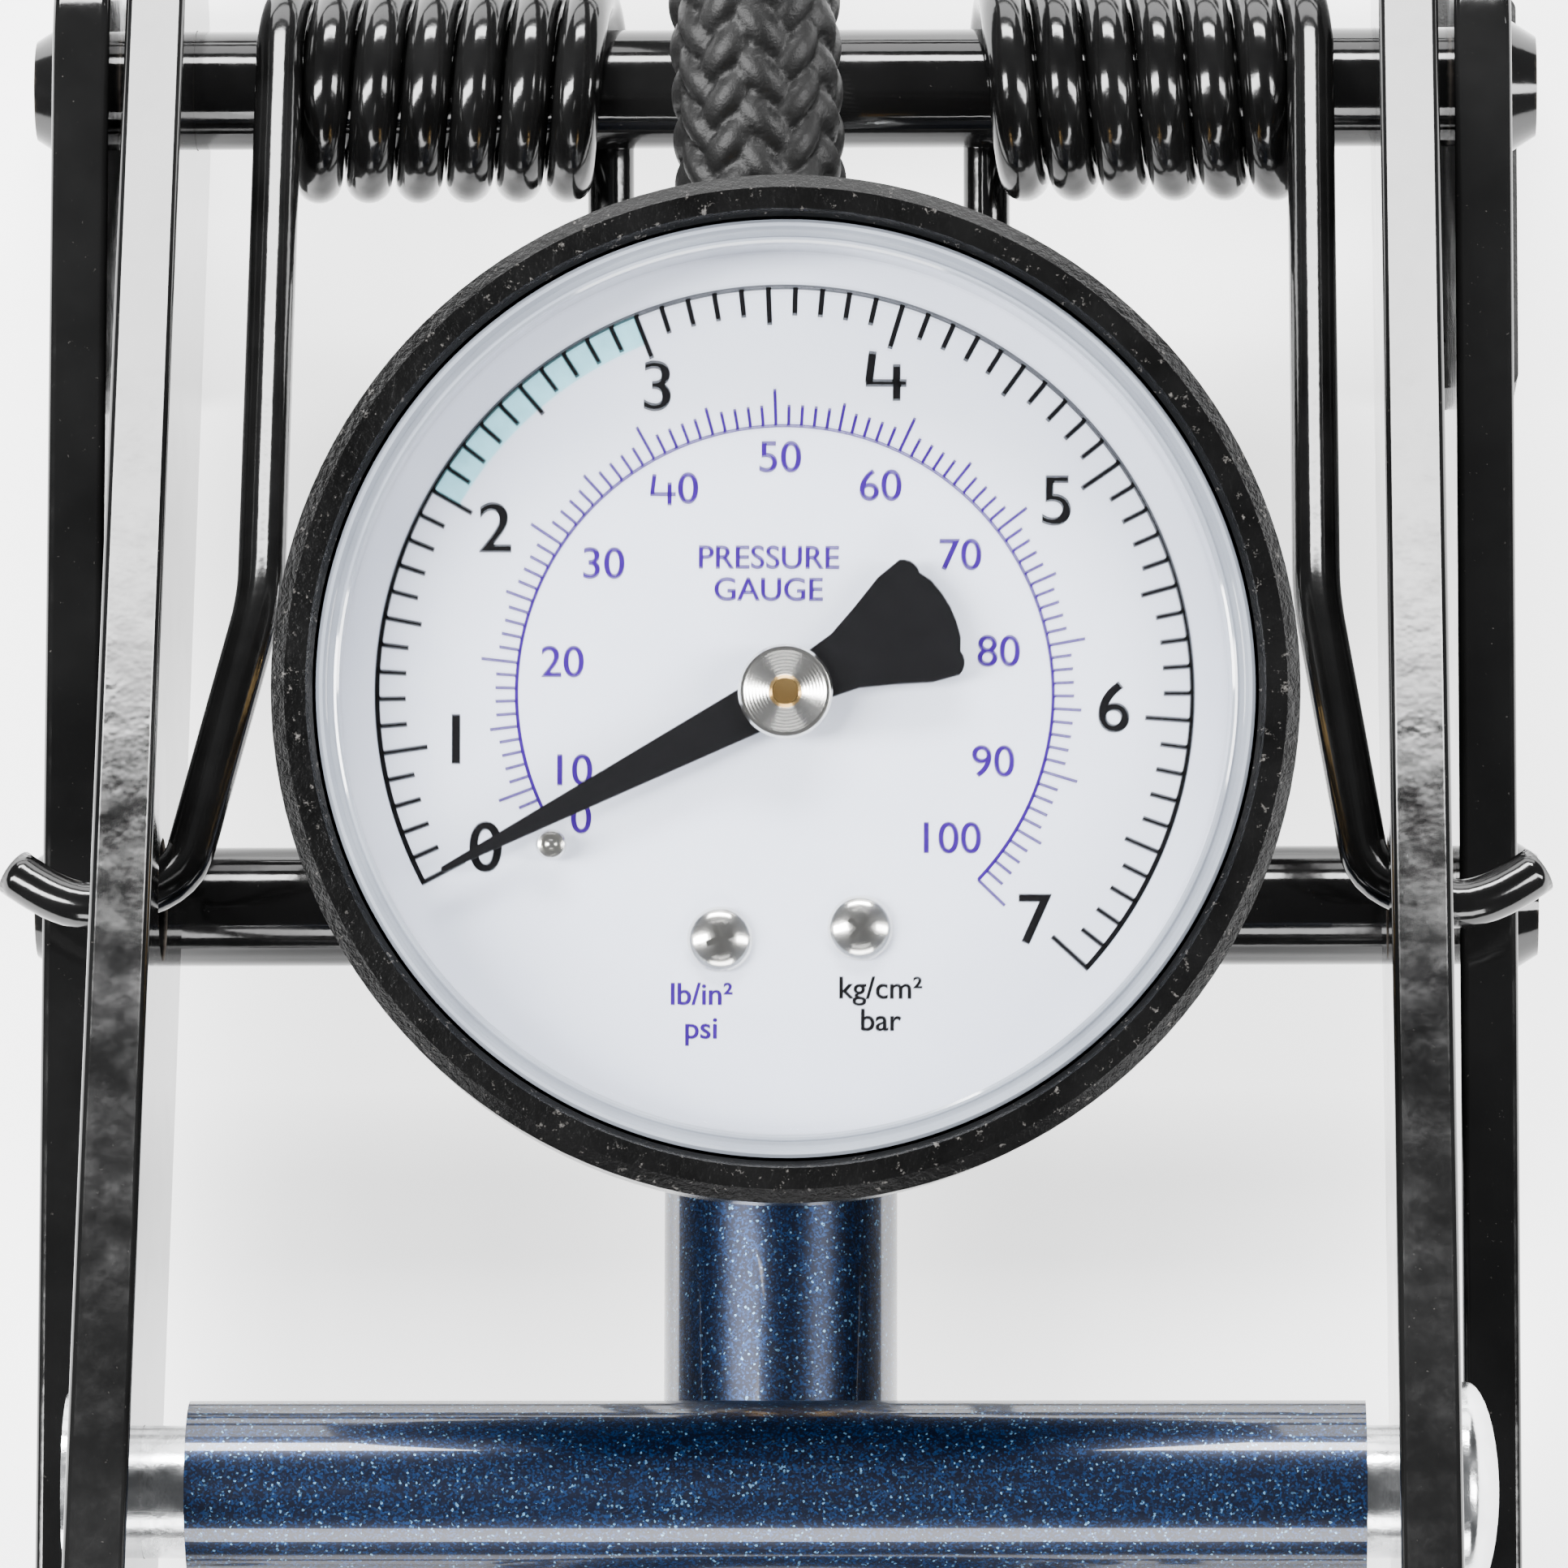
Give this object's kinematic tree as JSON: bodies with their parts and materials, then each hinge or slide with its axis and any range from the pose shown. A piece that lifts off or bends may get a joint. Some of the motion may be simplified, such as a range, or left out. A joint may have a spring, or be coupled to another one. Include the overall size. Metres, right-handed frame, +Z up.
{
  "type": "foot pump",
  "caption": "Folded single-cylinder foot pump: black flat-bar frames, blue barrel, dial pressure gauge and braided hose with a valve connector.",
  "frame": {"origin": "on the floor under the middle of the pump, measured without its hose", "axes": "+Z up, +Y towards the hinge end and the hose, +X to the pump's right seen from the pedal end"},
  "size_m": [0.1391, 0.4595, 0.0825],
  "materials": {
    "black_paint": "glossy black paint, chipped at the edges",
    "black_spring": "glossy black paint",
    "black_rubber": "matt",
    "blue_paint": "dark navy sparkle paint",
    "zinc_steel": "bright zinc plate",
    "brass": "machined",
    "nickel": "polished nickel",
    "black_plastic": "fine moulded grain",
    "dial_print": "satin pale blue-white with printed scales",
    "clear_lens": "clear",
    "pointer_black": "satin black",
    "hose_braid": "black textile braid over rubber"
  },
  "bodies": {
    "base": {"base_bar_left": "black_paint", "base_bar_right": "black_paint", "rear_shoe_left": "black_rubber", "rear_shoe_right": "black_rubber", "front_shoe_left": "black_rubber", "front_shoe_right": "black_rubber", "hinge_rivet": "black_paint", "mid_rivet": "black_paint", "front_rivet": "black_paint", "hinge_tube": "black_paint", "mid_tube": "black_paint", "front_tube": "black_paint", "return_spring": "black_spring"},
    "lever": {"lever_arm_left": "black_paint", "lever_arm_right": "black_paint", "pedal_plate": "black_paint", "pedal_pad": "black_rubber", "pedal_rivets": "zinc_steel", "latch_rod": "black_paint", "barrel_pin": "zinc_steel", "pin_clip": "zinc_steel"},
    "barrel": {"barrel_tube": "blue_paint", "barrel_head": "blue_paint", "pivot_sleeve": "blue_paint", "outlet_pipe": "blue_paint", "guide_cap": "black_plastic", "rod_bush": "black_plastic", "check_valve": "black_rubber", "gauge_stem": "brass", "gauge_case": "black_plastic", "gauge_dial": "dial_print", "gauge_lens": "clear_lens", "dial_screws": "nickel", "stop_pin": "nickel", "bourdon_tube": "brass", "gauge_movement": "brass", "hose_elbow": "zinc_steel", "hose_ferrule": "zinc_steel"},
    "pointer": {"pinion_spindle": "brass", "gauge_pointer": "pointer_black", "pointer_hub": "nickel"},
    "rod": {"piston_rod": "zinc_steel", "piston_cup": "black_rubber", "piston_disc": "zinc_steel", "piston_nut": "zinc_steel"},
    "hose": {"hose_run": "hose_braid", "chuck_ferrule": "zinc_steel", "chuck_body": "black_plastic", "chuck_seal": "black_rubber", "chuck_pin": "zinc_steel"},
    "thumb": {"chuck_lever": "black_plastic"},
    "hook": {"lock_hook": "black_paint"}
  },
  "joints": [
    {"name": "lever_hinge", "type": "hinge", "parent": "base", "child": "lever", "pos_m": [0, 0.12422, 0.022], "axis": [-1, 0, 0], "range_deg": [0, 28], "deforming": ["return_spring"]},
    {"name": "barrel_pivot", "type": "hinge", "parent": "lever", "child": "barrel", "pos_m": [0, 0.03143, 0.05351], "axis": [-1, 0, 0], "range_deg": [-42, 0]},
    {"name": "rod_slide", "type": "slide", "parent": "barrel", "child": "rod", "axis": [0, -1, 0], "range_m": [0, 0.0345]},
    {"name": "hose_lay", "type": "hinge", "parent": "barrel", "child": "hose", "pos_m": [0, -0.12821, 0.18441], "axis": [-1, 0, 0], "range_deg": [0, 13.5], "deforming": ["hose_run"]},
    {"name": "chuck_thumb", "type": "hinge", "parent": "hose", "child": "thumb", "pos_m": [0.07986, 0.22492, 0.01421], "axis": [0.9945, 0.1045, 0], "range_deg": [0, 80]},
    {"name": "gauge_needle", "type": "hinge", "parent": "barrel", "child": "pointer", "pos_m": [0.00139, 0.07704, 0.07327], "axis": [-0.0347, 0.1045, -0.9939], "range_deg": [0, 250], "stiffness_Nm_per_rad": 0.0002, "springref_deg": -11.46},
    {"name": "hook_swing", "type": "hinge", "parent": "base", "child": "hook", "pos_m": [0.0255, -0.12078, 0.02721], "axis": [1, 0, 0], "range_deg": [0, 90]}
  ],
  "couplings": [
    {"joint": "barrel_pivot", "follows": "lever_hinge", "ratio": -1.471},
    {"joint": "rod_slide", "follows": "lever_hinge", "m_per_rad": 0.068984},
    {"joint": "hose_lay", "follows": "lever_hinge", "ratio": 0.47104}
  ]
}
